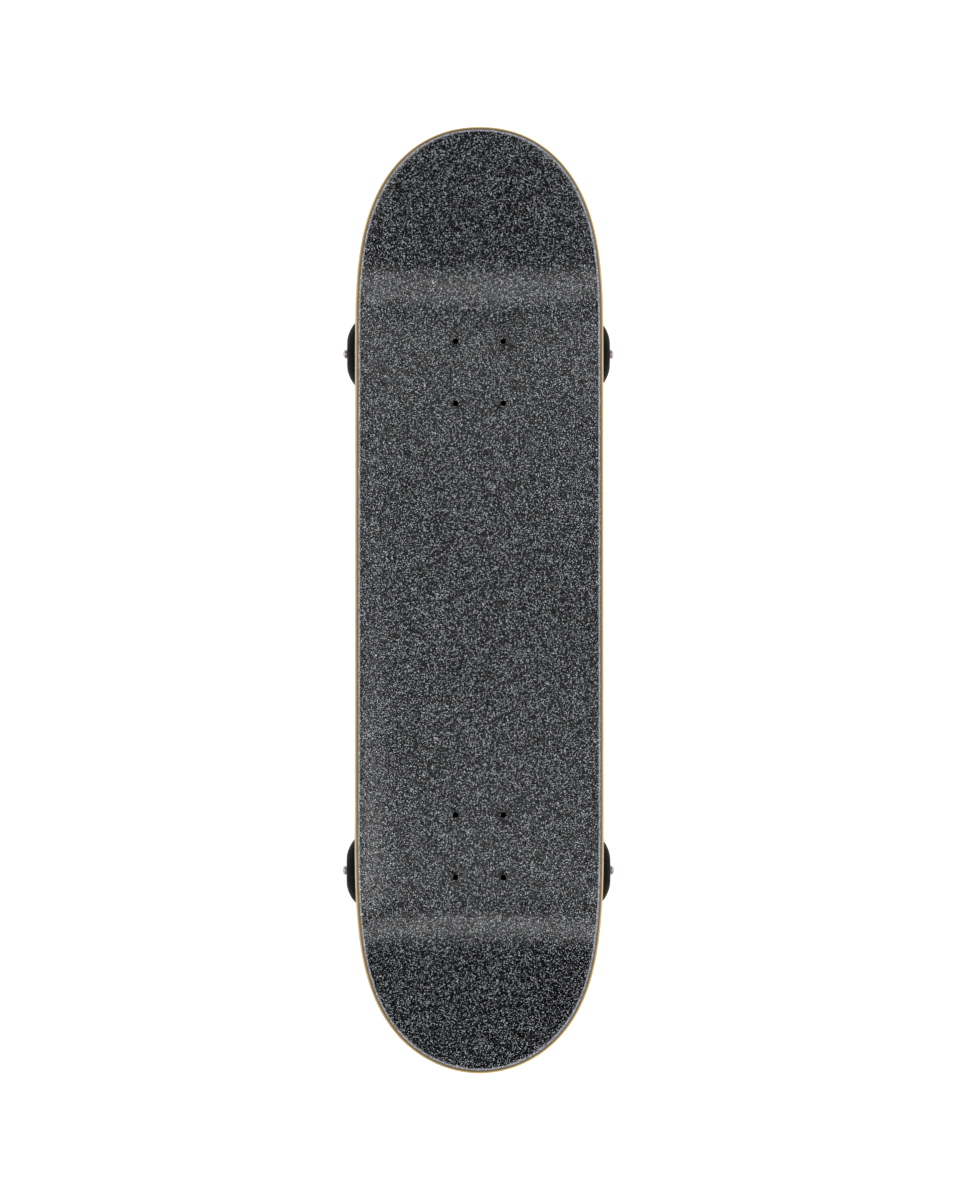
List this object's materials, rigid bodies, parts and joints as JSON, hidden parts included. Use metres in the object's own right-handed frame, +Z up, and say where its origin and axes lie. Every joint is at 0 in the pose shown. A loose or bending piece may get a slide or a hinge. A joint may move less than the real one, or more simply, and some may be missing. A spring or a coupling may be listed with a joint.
{
  "type": "skateboard",
  "caption": "Kicktail skateboard: laminated maple deck with grip tape, two sprung steering trucks and free-rolling urethane wheels on ball bearings.",
  "frame": {"origin": "on the ground, under the middle of the board's length and width", "axes": "+X to the nose, +Y to the left rail along the axles, +Z up"},
  "size_m": [0.8146, 0.2388, 0.144],
  "materials": {
    "grit": "coarse black grit on a paper backing",
    "maple": "sealed maple",
    "maple_core": "sealed maple, cross ply",
    "maple_stained": "amber stained maple",
    "black_steel": "black oxide",
    "zinc_steel": "zinc plated",
    "bright_steel": "ground steel",
    "ball_steel": "polished",
    "cast_aluminium": "tumbled casting",
    "spacer_aluminium": "turned",
    "bushing_urethane": "satin cast urethane",
    "cup_plastic": "satin",
    "wheel_urethane": "satin cast urethane",
    "cage_nylon": "matte"
  },
  "bodies": {
    "deck": {"grip_tape": "grit", "ply_1": "maple", "ply_2": "maple_core", "ply_3": "maple", "ply_4": "maple_core", "ply_5": "maple", "ply_6": "maple_core", "ply_7": "maple_stained", "mounting_bolts": "black_steel", "mounting_nuts": "black_steel", "front_baseplate": "cast_aluminium", "front_pivot_cup": "cup_plastic", "front_kingpin": "black_steel", "front_kingpin_nut": "zinc_steel", "front_cup_washers": "zinc_steel", "front_board_bushing": "bushing_urethane", "front_road_bushing": "bushing_urethane", "rear_baseplate": "cast_aluminium", "rear_pivot_cup": "cup_plastic", "rear_kingpin": "black_steel", "rear_kingpin_nut": "zinc_steel", "rear_cup_washers": "zinc_steel", "rear_board_bushing": "bushing_urethane", "rear_road_bushing": "bushing_urethane"},
    "front_hanger": {"front_hanger": "cast_aluminium", "front_axle": "bright_steel", "front_axle_nuts": "black_steel", "front_speed_washers": "zinc_steel", "front_inner_races": "bright_steel", "front_spacers": "spacer_aluminium"},
    "rear_hanger": {"rear_hanger": "cast_aluminium", "rear_axle": "bright_steel", "rear_axle_nuts": "black_steel", "rear_speed_washers": "zinc_steel", "rear_inner_races": "bright_steel", "rear_spacers": "spacer_aluminium"},
    "front_left_wheel": {"front_left_wheel": "wheel_urethane", "front_left_outer_races": "bright_steel", "front_left_shields": "zinc_steel"},
    "front_left_ball_set": {"front_left_balls": "ball_steel", "front_left_cages": "cage_nylon"},
    "front_right_wheel": {"front_right_wheel": "wheel_urethane", "front_right_outer_races": "bright_steel", "front_right_shields": "zinc_steel"},
    "front_right_ball_set": {"front_right_balls": "ball_steel", "front_right_cages": "cage_nylon"},
    "rear_left_wheel": {"rear_left_wheel": "wheel_urethane", "rear_left_outer_races": "bright_steel", "rear_left_shields": "zinc_steel"},
    "rear_left_ball_set": {"rear_left_balls": "ball_steel", "rear_left_cages": "cage_nylon"},
    "rear_right_wheel": {"rear_right_wheel": "wheel_urethane", "rear_right_outer_races": "bright_steel", "rear_right_shields": "zinc_steel"},
    "rear_right_ball_set": {"rear_right_balls": "ball_steel", "rear_right_cages": "cage_nylon"}
  },
  "joints": [
    {"name": "front_steer", "type": "hinge", "parent": "deck", "child": "front_hanger", "pos_m": [0.22611, 0, 0.0705], "axis": [0.8898, 0, 0.4563], "range_deg": [-14, 14], "stiffness_Nm_per_rad": 50, "deforming": ["front_board_bushing", "front_road_bushing"]},
    {"name": "rear_steer", "type": "hinge", "parent": "deck", "child": "rear_hanger", "pos_m": [-0.24201, 0, 0.0705], "axis": [0.8898, 0, -0.4563], "range_deg": [-14, 14], "stiffness_Nm_per_rad": 50, "deforming": ["rear_board_bushing", "rear_road_bushing"]},
    {"name": "front_left_roll", "type": "hinge", "parent": "front_hanger", "child": "front_left_wheel", "pos_m": [0.22011, 0.096, 0.0295], "axis": [0, 1, 0], "continuous": true},
    {"name": "front_left_ball_roll", "type": "hinge", "parent": "front_hanger", "child": "front_left_ball_set", "pos_m": [0.22011, 0.096, 0.0295], "axis": [0, 1, 0], "continuous": true},
    {"name": "front_right_roll", "type": "hinge", "parent": "front_hanger", "child": "front_right_wheel", "pos_m": [0.22011, -0.096, 0.0295], "axis": [0, 1, 0], "continuous": true},
    {"name": "front_right_ball_roll", "type": "hinge", "parent": "front_hanger", "child": "front_right_ball_set", "pos_m": [0.22011, -0.096, 0.0295], "axis": [0, 1, 0], "continuous": true},
    {"name": "rear_left_roll", "type": "hinge", "parent": "rear_hanger", "child": "rear_left_wheel", "pos_m": [-0.23601, 0.096, 0.0295], "axis": [0, 1, 0], "continuous": true},
    {"name": "rear_left_ball_roll", "type": "hinge", "parent": "rear_hanger", "child": "rear_left_ball_set", "pos_m": [-0.23601, 0.096, 0.0295], "axis": [0, 1, 0], "continuous": true},
    {"name": "rear_right_roll", "type": "hinge", "parent": "rear_hanger", "child": "rear_right_wheel", "pos_m": [-0.23601, -0.096, 0.0295], "axis": [0, 1, 0], "continuous": true},
    {"name": "rear_right_ball_roll", "type": "hinge", "parent": "rear_hanger", "child": "rear_right_ball_set", "pos_m": [-0.23601, -0.096, 0.0295], "axis": [0, 1, 0], "continuous": true}
  ],
  "couplings": [
    {"joint": "front_left_ball_roll", "follows": "front_left_roll", "ratio": 0.6323},
    {"joint": "front_right_ball_roll", "follows": "front_right_roll", "ratio": 0.6323},
    {"joint": "rear_left_ball_roll", "follows": "rear_left_roll", "ratio": 0.6323},
    {"joint": "rear_right_ball_roll", "follows": "rear_right_roll", "ratio": 0.6323}
  ]
}
